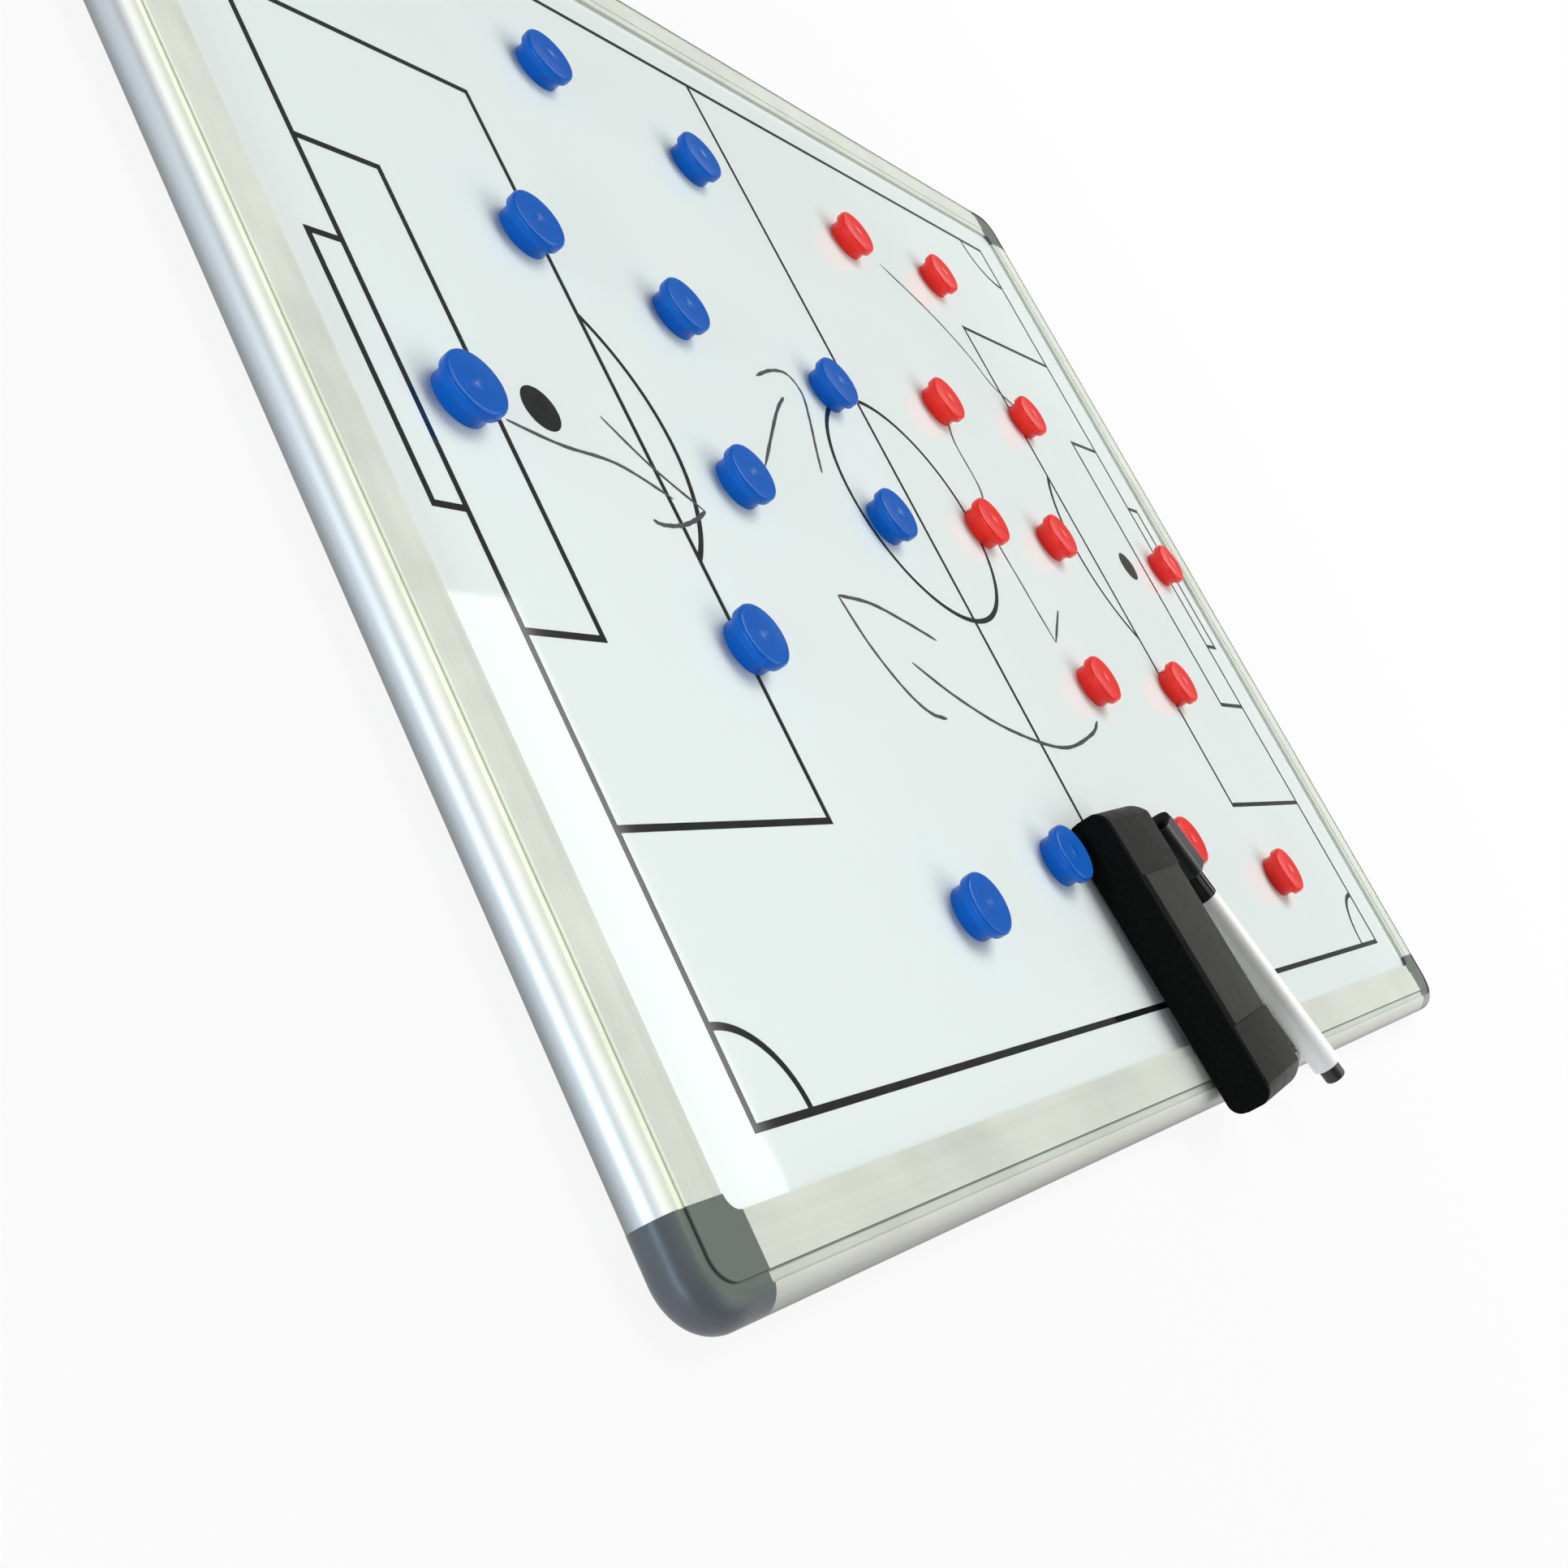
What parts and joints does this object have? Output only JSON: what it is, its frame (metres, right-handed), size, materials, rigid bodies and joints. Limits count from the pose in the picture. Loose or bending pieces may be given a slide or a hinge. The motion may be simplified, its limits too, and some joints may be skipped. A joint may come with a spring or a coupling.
{
  "type": "tactics board",
  "caption": "Framed magnetic football tactics board with pitch lines, coloured magnetic counters, a felt eraser and a capped marker pen that lie on it.",
  "frame": {"origin": "centre of the board on the plane of its back, in the middle of the four hanging holes", "axes": "+X along the pitch towards the red goal, +Y towards the top edge, +Z out of the writing face"},
  "size_m": [0.6, 0.4603, 0.0286],
  "materials": {
    "white_enamel": "glossy white enamel with printed black pitch lines",
    "core_board": "raw board core",
    "backing_steel": "grey coated sheet",
    "rail_aluminium": "satin anodised",
    "corner_plastic": "moulded, fine satin grain",
    "blue_plastic": "smooth moulded",
    "red_plastic": "smooth moulded",
    "eraser_plastic": "fine moulded grain",
    "black_felt": "pressed wool felt",
    "ferrite": "sintered, matte",
    "white_plastic": "smooth extruded",
    "black_plastic": "moulded, satin",
    "ink_fibre": "ink-soaked fibre"
  },
  "bodies": {
    "board": {"writing_sheet": "white_enamel", "core_panel": "core_board", "backing_sheet": "backing_steel", "rail_top": "rail_aluminium", "rail_bottom": "rail_aluminium", "rail_left": "rail_aluminium", "rail_right": "rail_aluminium", "corner_bottom_left": "corner_plastic", "corner_bottom_right": "corner_plastic", "corner_top_left": "corner_plastic", "corner_top_right": "corner_plastic"},
    "blue_magnet_counter_01": {"blue_counter_01": "blue_plastic"},
    "blue_magnet_counter_02": {"blue_counter_02": "blue_plastic"},
    "blue_magnet_counter_03": {"blue_counter_03": "blue_plastic"},
    "blue_magnet_counter_04": {"blue_counter_04": "blue_plastic"},
    "blue_magnet_counter_05": {"blue_counter_05": "blue_plastic"},
    "blue_magnet_counter_06": {"blue_counter_06": "blue_plastic"},
    "blue_magnet_counter_07": {"blue_counter_07": "blue_plastic"},
    "blue_magnet_counter_08": {"blue_counter_08": "blue_plastic"},
    "blue_magnet_counter_09": {"blue_counter_09": "blue_plastic"},
    "blue_magnet_counter_10": {"blue_counter_10": "blue_plastic"},
    "blue_magnet_counter_11": {"blue_counter_11": "blue_plastic"},
    "red_magnet_counter_01": {"red_counter_01": "red_plastic"},
    "red_magnet_counter_02": {"red_counter_02": "red_plastic"},
    "red_magnet_counter_03": {"red_counter_03": "red_plastic"},
    "red_magnet_counter_04": {"red_counter_04": "red_plastic"},
    "red_magnet_counter_05": {"red_counter_05": "red_plastic"},
    "red_magnet_counter_06": {"red_counter_06": "red_plastic"},
    "red_magnet_counter_07": {"red_counter_07": "red_plastic"},
    "red_magnet_counter_08": {"red_counter_08": "red_plastic"},
    "red_magnet_counter_09": {"red_counter_09": "red_plastic"},
    "red_magnet_counter_10": {"red_counter_10": "red_plastic"},
    "red_magnet_counter_11": {"red_counter_11": "red_plastic"},
    "eraser": {"eraser_shell": "eraser_plastic", "eraser_felt": "black_felt", "eraser_magnet_lower": "ferrite", "eraser_magnet_upper": "ferrite"},
    "capped_end": {"pen_cap": "black_plastic", "pen_cap_felt": "black_felt", "pen_cap_magnet": "ferrite"},
    "marker": {"pen_barrel": "white_plastic", "pen_end_plug": "black_plastic", "pen_reservoir": "ink_fibre", "pen_tip_holder": "white_plastic", "pen_nib": "ink_fibre"}
  },
  "joints": [
    {"name": "blue_counter_01_lift", "type": "slide", "parent": "board", "child": "blue_magnet_counter_01", "axis": [0, 0, 1], "range_m": [0, 0.03]},
    {"name": "blue_counter_02_lift", "type": "slide", "parent": "board", "child": "blue_magnet_counter_02", "axis": [0, 0, 1], "range_m": [0, 0.03]},
    {"name": "blue_counter_03_lift", "type": "slide", "parent": "board", "child": "blue_magnet_counter_03", "axis": [0, 0, 1], "range_m": [0, 0.03]},
    {"name": "blue_counter_04_lift", "type": "slide", "parent": "board", "child": "blue_magnet_counter_04", "axis": [0, 0, 1], "range_m": [0, 0.03]},
    {"name": "blue_counter_05_lift", "type": "slide", "parent": "board", "child": "blue_magnet_counter_05", "axis": [0, 0, 1], "range_m": [0, 0.03]},
    {"name": "blue_counter_06_lift", "type": "slide", "parent": "board", "child": "blue_magnet_counter_06", "axis": [0, 0, 1], "range_m": [0, 0.03]},
    {"name": "blue_counter_07_lift", "type": "slide", "parent": "board", "child": "blue_magnet_counter_07", "axis": [0, 0, 1], "range_m": [0, 0.03]},
    {"name": "blue_counter_08_lift", "type": "slide", "parent": "board", "child": "blue_magnet_counter_08", "axis": [0, 0, 1], "range_m": [0, 0.03]},
    {"name": "blue_counter_09_lift", "type": "slide", "parent": "board", "child": "blue_magnet_counter_09", "axis": [0, 0, 1], "range_m": [0, 0.03]},
    {"name": "blue_counter_10_lift", "type": "slide", "parent": "board", "child": "blue_magnet_counter_10", "axis": [0, 0, 1], "range_m": [0, 0.03]},
    {"name": "blue_counter_11_lift", "type": "slide", "parent": "board", "child": "blue_magnet_counter_11", "axis": [0, 0, 1], "range_m": [0, 0.03]},
    {"name": "red_counter_01_lift", "type": "slide", "parent": "board", "child": "red_magnet_counter_01", "axis": [0, 0, 1], "range_m": [0, 0.03]},
    {"name": "red_counter_02_lift", "type": "slide", "parent": "board", "child": "red_magnet_counter_02", "axis": [0, 0, 1], "range_m": [0, 0.03]},
    {"name": "red_counter_03_lift", "type": "slide", "parent": "board", "child": "red_magnet_counter_03", "axis": [0, 0, 1], "range_m": [0, 0.03]},
    {"name": "red_counter_04_lift", "type": "slide", "parent": "board", "child": "red_magnet_counter_04", "axis": [0, 0, 1], "range_m": [0, 0.03]},
    {"name": "red_counter_05_lift", "type": "slide", "parent": "board", "child": "red_magnet_counter_05", "axis": [0, 0, 1], "range_m": [0, 0.03]},
    {"name": "red_counter_06_lift", "type": "slide", "parent": "board", "child": "red_magnet_counter_06", "axis": [0, 0, 1], "range_m": [0, 0.03]},
    {"name": "red_counter_07_lift", "type": "slide", "parent": "board", "child": "red_magnet_counter_07", "axis": [0, 0, 1], "range_m": [0, 0.03]},
    {"name": "red_counter_08_lift", "type": "slide", "parent": "board", "child": "red_magnet_counter_08", "axis": [0, 0, 1], "range_m": [0, 0.03]},
    {"name": "red_counter_09_lift", "type": "slide", "parent": "board", "child": "red_magnet_counter_09", "axis": [0, 0, 1], "range_m": [0, 0.03]},
    {"name": "red_counter_10_lift", "type": "slide", "parent": "board", "child": "red_magnet_counter_10", "axis": [0, 0, 1], "range_m": [0, 0.03]},
    {"name": "red_counter_11_lift", "type": "slide", "parent": "board", "child": "red_magnet_counter_11", "axis": [0, 0, 1], "range_m": [0, 0.03]},
    {"name": "eraser_lift", "type": "slide", "parent": "board", "child": "eraser", "axis": [0, 0, 1], "range_m": [0, 0.06]},
    {"name": "pen_lift", "type": "slide", "parent": "board", "child": "capped_end", "axis": [0, 0, 1], "range_m": [0, 0.08]},
    {"name": "pen_uncap", "type": "slide", "parent": "capped_end", "child": "marker", "axis": [0.4147, -0.91, 0], "range_m": [0, 0.03]}
  ]
}
